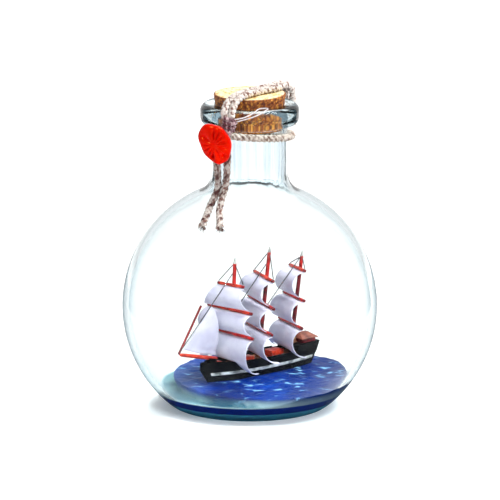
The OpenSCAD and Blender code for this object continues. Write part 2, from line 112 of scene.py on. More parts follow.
# The ship's own frame: +X to the bow, +Y to port, heights from the table
SHIP_X = 4.0
HEADING = 220.0
BOW_S = 30.0
STERN_S = -27.0
HALF_BEAM = 7.0
RAIL_H = 7.3
DECK_H = 5.8
POOP_H = 9.7
POOP_FRONT = -14.8
STERN_FOOT = 0.88
ROOF_H = 13.2
WALL_IN = 0.7
STRIPE_LOW = 3.1
STRIPE_H = 1.2
HINGE_H = 2.0
MAST_R = 0.95
MAST_TOP_R = 0.75
MAST_TIP = 2.4
YARD_R = 0.65
YARD_OUT = MAST_R + YARD_R
BELLY = 5.6
SAIL_T = 0.28
LINE_R = 0.2
GUY_R = 0.5
FOOT_ANGLE = -70
FOOT_LEAN = 15
ARCH_HALF_W = 7.8
SPRIT_HEEL = Vector((22.6, 0, 22.3))
SPRIT_TIP = Vector((41.0, 0, 26.9))
SPRIT_R = 0.85
STAY_TOP = Vector((14.2, 0, 55.6))
JIB_CLEW = Vector((22.9, 0, 23.8))

# Masts: place of the hinge along the ship, height of the deck, rake, height of the top.
# Yards: height, length, brace, dip of the port end. Foot: corner height, arch, width.
RIGS = {
    "fore": {
        "mast": (15.0, SEA_Z + DECK_H, 3.0, 62.0),
        "yards": [(51.2, 12, 22, 2), (41.3, 22, 14, 2), (31.9, 27, 6, 2)],
        "foot": (16.2, 6.4, 28.5),
    },
    "main": {
        "mast": (0.4, SEA_Z + DECK_H, 7.5, 64.0),
        "yards": [(52, 17, -12, 5), (41.5, 23, -13, 4), (31, 24, -13, 3)],
        "foot": (19.5, 2.6, 34),
    },
    "mizzen": {
        "mast": (-17.0, SEA_Z + POOP_H, 9.0, 60.0),
        "yards": [(52.8, 12.5, -10, 3), (41.2, 17, -10, 3), (30.4, 20, -12, 3)],
        "foot": (18, 3.7, 24),
    },
}
LEVELS = ("top", "middle", "low")

# ---------- small geometry helpers ----------


def clamp(value, low=0.0, high=1.0):
    return max(low, min(high, value))


def turn(angle, axis):
    return Matrix.Rotation(radians(angle), 4, axis)


SHIP = Matrix.Translation((SHIP_X, 0, 0)) @ turn(HEADING, "Z")


def mast_frame(mast):
    hinge_z = mast[1] + HINGE_H
    return SHIP @ Matrix.Translation((mast[0], 0, hinge_z)) @ turn(-mast[2], "Y")


def up_mast(mast, z):
    return (z - mast[1] - HINGE_H) / cos(radians(mast[2]))


def yard_frame(mast, yard):
    place = Matrix.Translation((YARD_OUT, 0, up_mast(mast, yard[0])))
    return mast_frame(mast) @ place @ turn(yard[2], "Z") @ turn(-yard[3], "X")


def circle(count):
    """Angles that go once round."""
    return [2 * pi * k / count for k in range(count)]


def across(angle, side, up):
    """The direction at an angle round a path, from the path's two cross directions."""
    return cos(angle) * side + sin(angle) * up


def polar(radius, angle, z=0):
    return Vector((radius * cos(angle), radius * sin(angle), z))


def curve_through(route, step):
    """Points about one step apart on a smooth curve through the route."""
    points = [Vector(p) for p in (route[0], *route, route[-1])]
    out = []
    for p0, p1, p2, p3 in zip(points, points[1:], points[2:], points[3:]):
        count = max(2, round((p2 - p1).length / step))
        for k in range(count):
            t = k / count
            out.append(0.5 * (
                2 * p1 + (p2 - p0) * t + (2 * p0 - 5 * p1 + 4 * p2 - p3) * t ** 2
                + (3 * p1 - p0 - 3 * p2 + p3) * t ** 3
            ))
    return out + points[-1:]


def path_length(points):
    return sum((b - a).length for a, b in zip(points, points[1:]))


def frames_along(points):
    """A pair of cross directions at each point, turning as little as possible."""
    frames = []
    side = None
    for i, point in enumerate(points):
        along = (points[min(i + 1, len(points) - 1)] - points[max(i - 1, 0)]).normalized()
        if side is None:
            side = along.orthogonal()
        side = (side - along * side.dot(along)).normalized()
        frames.append((side.copy(), along.cross(side)))
    return frames


def tube(points, radii, sides):
    """Rings of points around a path, with flat ends."""
    return loft([
        [point + radius * across(angle, side, up) for angle in circle(sides)]
        for point, radius, (side, up) in zip(points, radii, frames_along(points))
    ])


def revolve(profile, sides):
    """Turns a profile of (radius, height) points about the Z axis; radius 0 makes a pole."""
    verts = []
    rings = []
    for radius, height in profile:
        angles = circle(sides) if radius else [0]
        rings.append([len(verts) + k % len(angles) for k in range(sides)])
        verts += [polar(radius, angle, height) for angle in angles]
    faces = []
    for low, high in zip(rings, rings[1:]):
        for k in range(sides):
            n = (k + 1) % sides
            corners = tuple(dict.fromkeys((low[k], low[n], high[n], high[k])))
            if len(corners) > 2:
                faces.append(corners)
    return verts, faces


def loft(rings):
    """A closed skin through rings of the same number of points, with capped ends."""
    n = len(rings[0])
    verts = [p for ring in rings for p in ring]
    faces = [
        (i * n + j, i * n + (j + 1) % n, (i + 1) * n + (j + 1) % n, (i + 1) * n + j)
        for i in range(len(rings) - 1) for j in range(n)
    ]
    faces.append(tuple(range(n - 1, -1, -1)))
    faces.append(tuple(range(len(verts) - n, len(verts))))
    return verts, faces


def disc_faces(rings, around):
    """Faces between rings of points, outwards from a first ring that is all one place."""
    faces = []
    for j in range(rings):
        a = j * around
        b = a + around
        for k in range(around):
            n = (k + 1) % around
            faces.append((a + k, b + k, b + n, a + n) if j else (0, b + k, b + n))
    return faces


def grid(columns, rows, point):
    """A sheet of points, point(u, v) with u and v from 0 to 1."""
    verts = [
        Vector(point(i / columns, j / rows)) for j in range(rows + 1) for i in range(columns + 1)
    ]
    row = columns + 1
    faces = [
        (j * row + i, j * row + i + 1, (j + 1) * row + i + 1, (j + 1) * row + i)
        for j in range(rows) for i in range(columns)
    ]
    return verts, faces


def arc(centre, radius, start, end, count):
    """Points on an arc in the (radius, height) plane, angles in degrees."""
    angles = [radians(start + (end - start) * k / count) for k in range(count + 1)]
    return [(centre[0] + radius * cos(a), centre[1] + radius * sin(a)) for a in angles]


def mirrored(half):
    """A ring of points from its half on the ship's port side."""
    return half + [Vector((p.x, -p.y, p.z)) for p in reversed(half)]


def join(parts):
    """Several (verts, faces) lists as one."""
    verts = []
    faces = []
    for part_verts, part_faces in parts:
        first = len(verts)
        verts.extend(part_verts)
        faces.extend(tuple(i + first for i in face) for face in part_faces)
    return verts, faces


def new_object(name, data):
    obj = bpy.data.objects.new(name, data)
    bpy.context.scene.collection.objects.link(obj)
    return obj


def make(name, shape, body, look, nodes=(), place=None, sharp=40, face_looks=None):
    """A piece from (verts, faces) in millimetres, riding on a body."""
    verts, faces = shape
    if place is not None:
        verts = [place @ Vector(v) for v in verts]
    mesh = bpy.data.meshes.new(name)
    mesh.from_pydata([Vector(v) * 0.001 for v in verts], [], faces)
    mesh.validate()
    mesh.polygons.foreach_set("use_smooth", [True] * len(mesh.polygons))
    if sharp:
        mesh.set_sharp_from_angle(angle=radians(sharp))
    looks = [LOOKS[one] for one in (look if isinstance(look, list) else [look])]
    for material in looks:
        mesh.materials.append(material)
    if face_looks is not None:
        for polygon in mesh.polygons:
            polygon.material_index = face_looks(polygon.index)
    obj = new_object(name, mesh)
    if body:
        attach(obj, body)
    if nodes:
        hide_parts(*nodes)
    return obj


def on_ship(name, shape, look, node, sharp=35):
    """A piece fixed to the ship, in the ship's own frame."""
    return make(name, shape, "bottle_and_ship", look, [node], place=SHIP, sharp=sharp)


def canvas(name, shape, body, node, place):
    """A sheet of sail cloth, made solid with the cloth's thickness."""
    sail = make(name, shape, body, "sail", [node], place=place, sharp=0)
    thickness = sail.modifiers.new("thickness", "SOLIDIFY")
    thickness.thickness = SAIL_T * 0.001
    thickness.offset = 0
    return sail


# ---------- materials ----------


class Painter:
    """Adds procedural nodes to a material, in the object's own coordinates, or to the world."""

    def __init__(self, owner, shader="Principled BSDF"):
        self.owner = owner
        self.tree = owner.node_tree
        self.shader = self.tree.nodes[shader]
        self.place = self.node("TexCoord").outputs["Object"]

    def link(self, output, target):
        self.tree.links.new(output, target)

    def node(self, kind, **sockets):
        """A new node, with its named inputs set to a value or linked to an output."""
        node = self.tree.nodes.new("ShaderNode" + kind)
        for name, value in sockets.items():
            socket = node.inputs[name.replace("_", " ")]
            if isinstance(value, bpy.types.NodeSocket):
                self.link(value, socket)
            else:
                socket.default_value = value
        return node

    def stretched(self, scale):
        return self.node("Mapping", Vector=self.place, Scale=scale).outputs["Vector"]

    def between(self, output, low_mm, high_mm):
        """A distance as a share of the way between two others."""
        limits = {"From_Min": low_mm * 0.001, "From_Max": high_mm * 0.001}
        return self.node("MapRange", Value=output, **limits).outputs["Result"]

    def axis(self, letter, low_mm, high_mm):
        """Place along one axis, as a share of the way between two distances."""
        split = self.node("SeparateXYZ", Vector=self.place)
        return self.between(split.outputs[letter], low_mm, high_mm)

    def from_axis(self, low_mm, high_mm):
        """Distance from the object's upright axis, as a share of the way between two distances."""
        length = self.node("VectorMath", Vector=self.stretched((1, 1, 0)))
        length.operation = "LENGTH"
        return self.between(length.outputs["Value"], low_mm, high_mm)

    def grazing(self):
        """0 where the surface faces the viewer, 1 at its outline."""
        return self.node("LayerWeight", Blend=0.5).outputs["Facing"]

    def noise(self, scale, detail=4.0, place=None):
        """Noise with its features 1000 / scale millimetres wide."""
        place = place or self.place
        return self.node("TexNoise", Scale=scale, Detail=detail, Vector=place).outputs["Fac"]

    def cells(self, scale, feature="F1"):
        node = self.node("TexVoronoi", Scale=scale, Vector=self.place)
        node.feature = feature
        return node.outputs["Distance"]

    def ramp(self, factor, *stops):
        """Colours from (position, colour) stops; a plain number is a grey."""
        node = self.node("ValToRGB", Fac=factor)
        elements = node.color_ramp.elements
        while len(elements) < len(stops):
            elements.new(0.5)
        for element, (position, colour) in zip(elements, stops):
            rgb = colour if isinstance(colour, tuple) else (colour, colour, colour)
            element.position = position
            element.color = (*rgb, 1)
        return node.outputs["Color"]

    def mix(self, factor, first, second):
        node = self.tree.nodes.new("ShaderNodeMix")
        node.data_type = "RGBA"
        self.link(factor, node.inputs["Factor"])
        for value, target in ((first, node.inputs["A"]), (second, node.inputs["B"])):
            if isinstance(value, tuple):
                target.default_value = (*value, 1)
            else:
                self.link(value, target)
        return node.outputs["Result"]

    def colour(self, output):
        self.link(output, self.shader.inputs["Base Color"])

    def roughness(self, factor, low, high):
        node = self.node("MapRange", Value=factor, To_Min=low, To_Max=high)
        self.link(node.outputs["Result"], self.shader.inputs["Roughness"])

    def bump(self, height, depth_mm, strength=0.6):
        node = self.node("Bump", Height=height, Strength=strength, Distance=depth_mm * 0.001)
        self.link(node.outputs["Normal"], self.shader.inputs["Normal"])


def painted(name, roughness=0.5, **sockets):
    """A painter with a new material."""
    material = bpy.data.materials.new(name)
    material.use_nodes = True
    paint = Painter(material)
    for socket, value in {"Roughness": roughness, **sockets}.items():
        paint.shader.inputs[socket.replace("_", " ")].default_value = value
    return paint


def glass_look():
    """Glass with painted shade at its outline and painted reflection streaks in its bumpy neck; it casts
    hardly any shadow.
    """
    clear_tint = (0.985, 0.995, 0.995)
    paint = painted(
        "clear_glass", 0.0, Transmission_Weight=1.0, IOR=1.48, Base_Color=(*clear_tint, 1),
        Specular_Tint=(0.1, 0.1, 0.1, 1)
    )
    neck = paint.ramp(paint.axis("Z", 88, 116), (0.0, 0), (0.25, 1), (0.75, 1), (0.9, 0))
    streaks = paint.noise(300, 3, paint.stretched((1, 1, 0.03)))
    paint.bump(paint.mix(neck, (0.5, 0.5, 0.5), streaks), 0.6)
    # Painted shade: towards its outline the body's glass darkens to grey-teal.
    outline = paint.ramp(paint.grazing(), (0.70, clear_tint), (0.93, (0.54, 0.67, 0.71)))
    above_body = paint.axis("Z", 86, 100)
    # Painted reflection: bluish-grey streaks in the neck, on the same noise as the neck's bump.
    streak_reflection = paint.ramp(streaks, (0.42, (0.72, 0.79, 0.84)), (0.58, clear_tint))
    paint.colour(paint.mix(neck, paint.mix(above_body, outline, clear_tint), streak_reflection))
    output = paint.tree.nodes["Material Output"]
    absorb = paint.node("VolumeAbsorption", Color=(0.50, 0.70, 0.74, 1), Density=45)
    paint.link(absorb.outputs["Volume"], output.inputs["Volume"])
    clear = paint.node("BsdfTransparent", Color=(0.97, 0.985, 0.985, 1))
    mix = paint.node("MixShader", Fac=paint.node("LightPath").outputs["Is Shadow Ray"])
    paint.link(paint.shader.outputs["BSDF"], mix.inputs[1])
    paint.link(clear.outputs["BSDF"], mix.inputs[2])
    paint.link(mix.outputs["Shader"], output.inputs["Surface"])
    return paint.owner


def cork_look(name, roughness, grain, colours, granules, seam, seam_colour):
    """Pressed granules with darker seams between them."""
    paint = painted(name, roughness)
    body = paint.ramp(paint.noise(grain, 6), *colours)
    seams = paint.ramp(paint.cells(granules, "DISTANCE_TO_EDGE"), (0.0, 0), (seam, 1))
    paint.colour(paint.mix(seams, seam_colour, body))
    return paint


def cork_side_look():
    colours = ((0.34, (0.08, 0.012, 0.004)), (0.50, (0.40, 0.10, 0.012)), (0.66, (0.84, 0.36, 0.05)))
    paint = cork_look("cork_side", 0.75, 800, colours, 700, 0.12, (0.10, 0.028, 0.008))
    paint.bump(paint.cells(700), 0.5)
    return paint.owner


def cork_top_look():
    colours = ((0.34, (0.62, 0.32, 0.08)), (0.43, (0.90, 0.72, 0.32)), (0.56, (0.98, 0.90, 0.60)))
    paint = cork_look("cork_top", 0.8, 600, colours, 520, 0.05, (0.50, 0.25, 0.08))
    paint.bump(paint.noise(900, 5), 0.3)
    return paint.owner


def yarn_look(name, light, dark, low, high, seal_shade=0.0):
    """Spun yarn with flecks; low and high set how much of it is dark, and the last argument how deep the
    painted shade under the seal is.
    """
    paint = painted(name, 0.9, Sheen_Weight=0.3, Sheen_Roughness=0.5)
    flecks = paint.noise(900, 8, paint.stretched((1, 1, 0.6)))
    yarn = paint.ramp(flecks, (low, dark), (high, light))
    # Painted shade: the cord darkens just below the seal, most from about 98 to 108 mm up.
    shade_below_seal = paint.ramp(paint.axis("Z", 88, 110), (0.0, 0), (0.45, seal_shade), (0.92, seal_shade), (1.0, 0))
    paint.colour(paint.mix(shade_below_seal, yarn, (0.07, 0.025, 0.02)))
    paint.bump(paint.noise(3000, 4, paint.stretched((1, 1, 0.35))), 0.25)
    return paint.owner


def wax_look():
    paint = painted("sealing_wax", 0.2, Specular_IOR_Level=0.45, Specular_Tint=(1.0, 0.3, 0.06, 1))
    paint.colour(paint.ramp(paint.noise(160, 3), (0.3, (0.62, 0.0, 0.0)), (0.7, (0.98, 0.006, 0.0))))
    paint.bump(paint.noise(420, 3), 0.25, 0.4)
    return paint.owner


def sea_look():
    """Blue putty, pale at the left and dark at the right, teal on its shelf and base, with dabs of foam and a
    painted highlight at the glass.
    """
    paint = painted("sea_putty", 0.4, Specular_IOR_Level=0.03)
    water = paint.ramp(
        paint.noise(34, 6), (0.36, (0.0, 0.004, 0.05)), (0.50, (0.0, 0.014, 0.15)),
        (0.62, (0.001, 0.032, 0.26)), (0.76, (0.01, 0.09, 0.42))
    )
    pale = paint.ramp(paint.axis("X", -34, -14), (0.0, 0.7), (1.0, 0))
    water = paint.mix(pale, water, (0.06, 0.13, 0.42))
    shelf = paint.ramp(paint.noise(60, 5), (0.38, (0.02, 0.12, 0.20)), (0.62, (0.22, 0.42, 0.46)))
    high = paint.axis("Z", 8.8, 11.4)
    water = paint.mix(high, shelf, water)
    # Painted highlight: a pale line round the putty where its lower shelf meets the glass.
    rim = paint.ramp(paint.from_axis(35.1, 35.8), (0.0, 0), (1.0, 0.8))
    water = paint.mix(rim, water, paint.mix(high, (0.55, 0.72, 0.76), water))
    dark = paint.ramp(paint.axis("X", 2, 34), (0.0, 0), (0.5, 0.6), (1.0, 0.85))
    water = paint.mix(dark, water, (0.002, 0.014, 0.10))
    side = paint.ramp(paint.axis("Z", 7.6, 8.0), (0.0, 1), (1.0, 0))
    water = paint.mix(side, water, (0.002, 0.016, 0.17))
    low = paint.ramp(paint.axis("Z", 3.6, 4.8), (0.35, 1), (1.0, 0))
    water = paint.mix(low, water, (0.16, 0.78, 1.0))
    foam = paint.ramp(paint.noise(260, 12, paint.stretched((0.7, 1.5, 1))), (0.60, 0), (0.70, 1))
    foam = paint.mix(high, (0, 0, 0), foam)
    paint.colour(paint.mix(foam, water, (0.22, 0.48, 0.72)))
    paint.bump(paint.noise(150, 7), 0.7, 0.6)
    return paint.owner


def paint_look(name, main, shade, roughness=0.3, bump_mm=0.06, gloss=0.15, shine=0.3):
    """Hand-brushed paint: uneven colour and faint brush marks."""
    paint = painted(name, roughness, Coat_Weight=gloss, Coat_Roughness=0.2, Specular_IOR_Level=shine)
    paint.colour(paint.ramp(paint.noise(420, 5), (0.35, shade), (0.6, main)))
    paint.roughness(paint.noise(240, 3), roughness * 0.7, min(1.0, roughness * 1.5))
    paint.bump(paint.noise(900, 4), bump_mm)
    return paint.owner


def worn_white_look():
    """The brushed white line along the hull, with black showing through."""
    paint = painted("white_paint", 0.4)
    paint.colour(paint.ramp(
        paint.noise(330, 6), (0.36, (0.10, 0.10, 0.10)), (0.47, (0.52, 0.53, 0.50)),
        (0.62, (0.88, 0.88, 0.84))
    ))
    paint.bump(paint.noise(800, 4), 0.1)
    return paint.owner


def sail_look():
    paint = painted("sail_cloth", 0.42, Sheen_Weight=0.15)
    paint.colour(paint.ramp(
        paint.noise(130, 4), (0.35, (0.52, 0.49, 0.63)), (0.6, (0.68, 0.65, 0.77))
    ))
    weave = paint.noise(2600, 2, paint.stretched((1, 1, 0.3)))
    paint.bump(weave, 0.05, 0.3)
    return paint.owner


def thread_look(name, main, shade):
    paint = painted(name, 0.75)
    paint.colour(paint.ramp(paint.noise(1500, 4), (0.35, shade), (0.65, main)))
    paint.bump(paint.noise(3500, 3), 0.05)
    return paint.owner


def metal_look(name, main, shade, roughness):
    paint = painted(name, roughness, Metallic=1.0)
    paint.colour(paint.ramp(paint.noise(700, 4), (0.35, shade), (0.65, main)))
    paint.roughness(paint.noise(1300, 4), roughness * 0.7, roughness * 1.4)
    return paint.owner


def floor_look():
    paint = painted("floor", 0.9, Emission_Color=(1, 1, 1, 1), Emission_Strength=0.15)
    paint.colour(paint.ramp(paint.noise(3, 2), (0.0, 0.93), (1.0, 0.95)))
    return paint.owner


LOOKS = {
    "glass": glass_look(),
    "cork_side": cork_side_look(),
    "cork_top": cork_top_look(),
    "cream_yarn": yarn_look("twisted_cord", (0.80, 0.73, 0.67), (0.20, 0.08, 0.055), 0.38, 0.52),
    "ring_yarn": yarn_look("ring_cord", (0.66, 0.59, 0.52), (0.20, 0.12, 0.08), 0.38, 0.54),
    # The last number on the two tail yarns is the depth of their painted shade under the seal.
    "tail_yarn": yarn_look("tail_cord", (0.80, 0.73, 0.67), (0.20, 0.08, 0.055), 0.40, 0.54, 0.45),
    "brown_yarn": yarn_look("brown_yarn", (0.70, 0.60, 0.52), (0.09, 0.02, 0.018), 0.46, 0.60, 0.6),
    "knot_yarn": yarn_look("knot_yarn", (0.62, 0.45, 0.46), (0.10, 0.015, 0.03), 0.44, 0.58),
    "white_thread": thread_look("white_thread", (0.9, 0.88, 0.86), (0.62, 0.52, 0.56)),
    "wax": wax_look(),
    "sea": sea_look(),
    "black": paint_look(
        "black_paint", (0.003, 0.003, 0.004), (0.001, 0.001, 0.001), 0.5, gloss=0.0, shine=0.08
    ),
    "white": worn_white_look(),
    "deck": paint_look("deck_wood", (0.22, 0.09, 0.04), (0.10, 0.03, 0.015), 0.5),
    "orange": paint_look("orange_paint", (0.60, 0.045, 0.016), (0.30, 0.014, 0.010)),
    # Maroon is also the painted shade on the masts below their top yards.
    "maroon": paint_look("maroon_paint", (0.20, 0.008, 0.014), (0.05, 0.004, 0.006)),
    "brown": paint_look("brown_paint", (0.22, 0.055, 0.03), (0.09, 0.018, 0.012), 0.45),
    "red": paint_look("red_paint", (0.50, 0.016, 0.012), (0.22, 0.007, 0.008)),
    "sail": sail_look(),
    "rigging": thread_look("rigging_thread", (0.10, 0.09, 0.10), (0.03, 0.03, 0.035)),
    "red_thread": thread_look("red_thread", (0.34, 0.02, 0.02), (0.12, 0.01, 0.01)),
    "tip": paint_look("tip_paint", (0.55, 0.54, 0.50), (0.24, 0.24, 0.23), 0.35),
    "brass": metal_look("pin_brass", (0.80, 0.60, 0.28), (0.52, 0.36, 0.14), 0.3),
    "floor": floor_look(),
    "side_card": paint_look("side_card_paint", (0.30, 0.37, 0.42), (0.24, 0.31, 0.36), 0.9),
    "low_card": paint_look("low_card_paint", (0.06, 0.09, 0.12), (0.04, 0.07, 0.10), 0.9),
}

# ---------- camera, light and floor ----------

CAMERA_AIM = Vector((0.0001, 0, 0.0633))
CAMERA_FAR = 3.0
CAMERA_UP = 13.2
CAMERA_LENS = 540
LOW_CARD_R = 400


def add_camera():
    data = bpy.data.cameras.new("camera")
    data.lens = CAMERA_LENS
    camera = new_object("camera", data)
    up = radians(CAMERA_UP)
    camera.location = CAMERA_AIM + CAMERA_FAR * Vector((0, -cos(up), sin(up)))
    camera.rotation_euler = (radians(90 - CAMERA_UP), 0, 0)
    bpy.context.scene.camera = camera


def add_light(name, place, size, power, colour, glints=True, lights=True):
    """A round lamp; one without glints stays out of reflections, one without lights is only seen in them."""
    data = bpy.data.lights.new(name, "AREA")
    data.shape = "DISK"
    data.size = size
    data.energy = power
    data.color = colour
    light = new_object(name, data)
    light.location = place
    aim = Vector((0, 0, 0.05)) - Vector(place)
    light.rotation_euler = aim.to_track_quat("-Z", "Y").to_euler()
    light.visible_glossy = glints
    light.visible_diffuse = lights


def add_world():
    """White behind the object, grey at the sides and dark in front, which draws the glass's edges."""
    world = bpy.data.worlds.new("studio")
    world.use_nodes = True
    paint = Painter(world, "Background")
    split = paint.node("SeparateXYZ", Vector=paint.node("TexCoord").outputs["Generated"])
    behind = paint.node("MapRange", Value=split.outputs["Y"], From_Min=-1)
    stops = ((0.0, 0.16), (0.4, 0.26), (0.55, 0.46), (0.9, 1.0))
    tinted = [(at, (value, value * 1.01, value * 1.02)) for at, value in stops]
    paint.link(paint.ramp(behind.outputs["Result"], *tinted), paint.shader.inputs["Color"])
    bpy.context.scene.world = world


def add_floor():
    verts = [(-4000, -4000, 0), (4000, -4000, 0), (4000, 4000, 0), (-4000, 4000, 0)]
    floor = make("floor", (verts, [(0, 1, 2, 3)]), None, "floor", sharp=0)


def add_card(name, shape, look):
    """A card that only reflections and the glass can see."""
    card = make(name, shape, None, look, sharp=0)
    card.visible_camera = False
    card.visible_diffuse = False
    card.visible_shadow = False
    return card


def add_cards():
    """Grey cards at both sides draw the glass's edges; a dark one keeps the floor out of its reflections."""
    for name, x in (("card_left", -160), ("card_right", 160)):
        verts = [(x, -160, 0), (x, 160, 0), (x, 160, 260), (x, -160, 260)]
        add_card(name, (verts, [(0, 1, 2, 3)]), "side_card")
    ring = [polar(LOW_CARD_R, angle, 0.4) for angle in circle(32)]
    low = add_card("card_low", (ring, [tuple(range(32))]), "low_card")
    low.visible_transmission = False


def set_render():
    scene = bpy.context.scene
    scene.view_settings.view_transform = "Standard"
    scene.cycles.use_denoising = True
    scene.cycles.max_bounces = 24
    scene.cycles.transmission_bounces = 20
    scene.cycles.transparent_max_bounces = 24
    scene.cycles.caustics_reflective = False
    scene.cycles.caustics_refractive = True
    scene.cycles.sample_clamp_indirect = 3


# ---------- cord ----------

CORD_PITCH = 6.5
STRAND_R = 0.8
STRAND_OUT = 0.72
FRAY = 3.5


def twisted(points, frayed=False, scale=1.0):
    """Three strands laid round a path; a frayed end opens out. Returns them and the faces in each."""
    total = path_length(points)
    frames = frames_along(points)
    parts = []
    for strand in range(3):
        centres = []
        radii = []
        gone = 0.0
        for i, point in enumerate(points):
            if i:
                gone += (point - points[i - 1]).length
            open_end = max(0.0, 1 - (total - gone) / FRAY) if frayed else 0.0
            out = scale * (STRAND_OUT + 0.75 * open_end ** 2)
            angle = 2 * pi * (gone / (CORD_PITCH * scale) + strand / 3)
            side, up = frames[i]
            centres.append(point + out * across(angle, side, up))
            wobble = 0.07 * noise.noise(Vector((gone * 0.9, strand * 7.3, points[0].x)))
            radii.append(scale * (STRAND_R + wobble - 0.3 * open_end))
        parts.append(tube(centres, radii, 10))
    faces_each = len(parts[0][1])
    return join(parts), faces_each


def fibres(tip, along, count, seed):
    """Loose hairs that spread from a cord's cut end."""
    rand = random.Random(seed)
    side = along.orthogonal().normalized()
    up = along.cross(side)
    parts = []
    for k in range(count):
        angle = 2 * pi * k / count + rand.uniform(-0.3, 0.3)
        outward = across(angle, side, up)
        length = 3 * rand.uniform(0.55, 1.0)
        spread = rand.uniform(0.15, 0.5)
        start = tip - along * 1.2 + outward * 0.7
        points = [
            start + along * length * t + outward * spread * length * t * t for t in (0, 0.3, 0.6, 0.8, 1)
        ]
        parts.append(tube(points, [0.17, 0.15, 0.12, 0.09, 0.05], 5))
    return join(parts)


def cord_piece(name, route, looks, node, seed):
    """A cord with a frayed end; its third strand and its loose fibres have the second look."""
    points = curve_through(route, 0.3)
    shape, faces_each = twisted(points, frayed=True)
    along = (points[-1] - points[-4]).normalized()
    obj = make(
        name, join([shape, fibres(points[-1], along, 22, seed)]), "cord_and_seal", looks, [node],
        sharp=0, face_looks=lambda i: 1 if i >= 2 * faces_each else 0
    )


def add_cords():
    yarn = ["tail_yarn", "brown_yarn"]
    cord_piece("tail_cord_left", TAIL_LEFT, yarn, "cord_tail_left", 11)
    cord_piece("tail_cord_right", TAIL_RIGHT, yarn, "cord_tail_right", 12)
    pale = ["cream_yarn", "cream_yarn"]
    cord_piece("top_cord_front", OVER_FRONT, pale, "over_cord_front", 13)
    cord_piece("top_cord_back", OVER_BACK, pale, "over_cord_back", 14)
    add_neck_cord()
    add_thread()
    add_knot()


def add_neck_cord():
    tilt = turn(NECK_CORD_TILT[1], "Y") @ turn(NECK_CORD_TILT[0], "X")
    place = Matrix.Translation((0, 0, NECK_CORD_Z)) @ tilt
    points = [place @ polar(NECK_CORD_RING, radians(k - 120)) for k in range(361)]
    shape, _ = twisted(points)
    make(
        "neck_ring_cord", shape, "bottle_and_ship", "ring_yarn", ["neck_cord"],
        sharp=0
    )


def add_thread():
    points = curve_through(THREAD, 0.25)
    shape = tube(points, [THREAD_R] * len(points), 8)
    thread = make("thread_loop", shape, "cord_and_seal", "white_thread", ["tie_thread"], sharp=0)


def add_knot():
    """The bundle of strands under the knot, with whipping turns round it."""
    along = (KNOT_END - KNOT_AT).normalized()
    side = along.orthogonal().normalized()
    up = along.cross(side)
    length = (KNOT_END - KNOT_AT).length
    parts = []
    for strand in range(3):
        out = across(2 * pi * strand / 3, side, up)
        start = KNOT_AT - along * 1.6
        points = [start + out + along * (length + 1.4) * t / 30 for t in range(31)]
        parts.append(twisted(points, scale=0.72)[0])
    turns = 3.2
    wrap = []
    for k in range(110):
        t = k / 109
        a = 2 * pi * turns * t
        r = 2.15 + 0.25 * sin(5 * a)
        wrap.append(KNOT_AT + along * (-1.4 + 5.2 * t) + r * across(a, side, up))
    parts.append(twisted(wrap, scale=0.5)[0])
    make(
        "cord_knot_wraps", join(parts), "cord_and_seal", "knot_yarn", ["cord_knot"],
        sharp=0
    )


# ---------- bottle, cork, seal and sea ----------


def fillet(ball_r, neck_r, radius):
    """The arc that joins a ball to the neck above it: points from the ball up."""
    centre_r = neck_r + radius
    centre_z = BODY_Z + sqrt((ball_r + radius) ** 2 - centre_r ** 2)
    touch = degrees(atan2(BODY_Z - centre_z, -centre_r))
    return arc((centre_r, centre_z), radius, touch % 360, 180, 14)


def ball(radius, low, high, count):
    """Points up a ball's side between two heights."""
    start = degrees(asin((low - BODY_Z) / radius))
    end = degrees(asin((high - BODY_Z) / radius))
    return arc((0, BODY_Z), radius, start, end, count)


def add_bottle():
    outer_bend = fillet(BODY_R, NECK_R, SHOULDER_ROUND)
    inner_bend = fillet(INNER_R, BORE_R, SHOULDER_ROUND + 2)
    lip_mid = LIP_R - LIP_ROUND
    outside = [(0, 0.9), (18, 0.8), (24, 0.5), (27, 0.15), (28.6, 0), (30.2, 0.2), (31.6, 0.8), (33, 1.8)]
    outside += ball(BODY_R, 2.9, outer_bend[0][1] - 0.6, 60)
    outside += outer_bend + [(NECK_R, 100), (NECK_R - 0.1, 106), (NECK_R, LIP_LOW_Z - 1.2)]
    outside += [(NECK_R + 0.4, LIP_LOW_Z - 0.3)]
    outside += arc((lip_mid, LIP_LOW_Z + LIP_ROUND), LIP_ROUND, -90, 0, 10)
    outside += arc((lip_mid, LIP_TOP_Z - LIP_ROUND), LIP_ROUND, 0, 90, 10)
    mouth_r = CORK_TOP_R - 0.5
    inside = [(mouth_r + 0.3, LIP_TOP_Z), (mouth_r, LIP_TOP_Z - 0.3), (BORE_R, 119)]
    inside += list(reversed(inner_bend))
    inside += list(reversed(ball(INNER_R, 5.4, inner_bend[0][1] - 0.6, 56)))
    inside += [(31.5, 4.75), (29.8, FLOOR_Z), (15, FLOOR_Z + 0.5), (0, FLOOR_Z + 0.9)]
    shape = revolve(outside + inside, 160)
    make("bottle_glass", shape, "bottle_and_ship", "glass", ["bottle"], sharp=60)


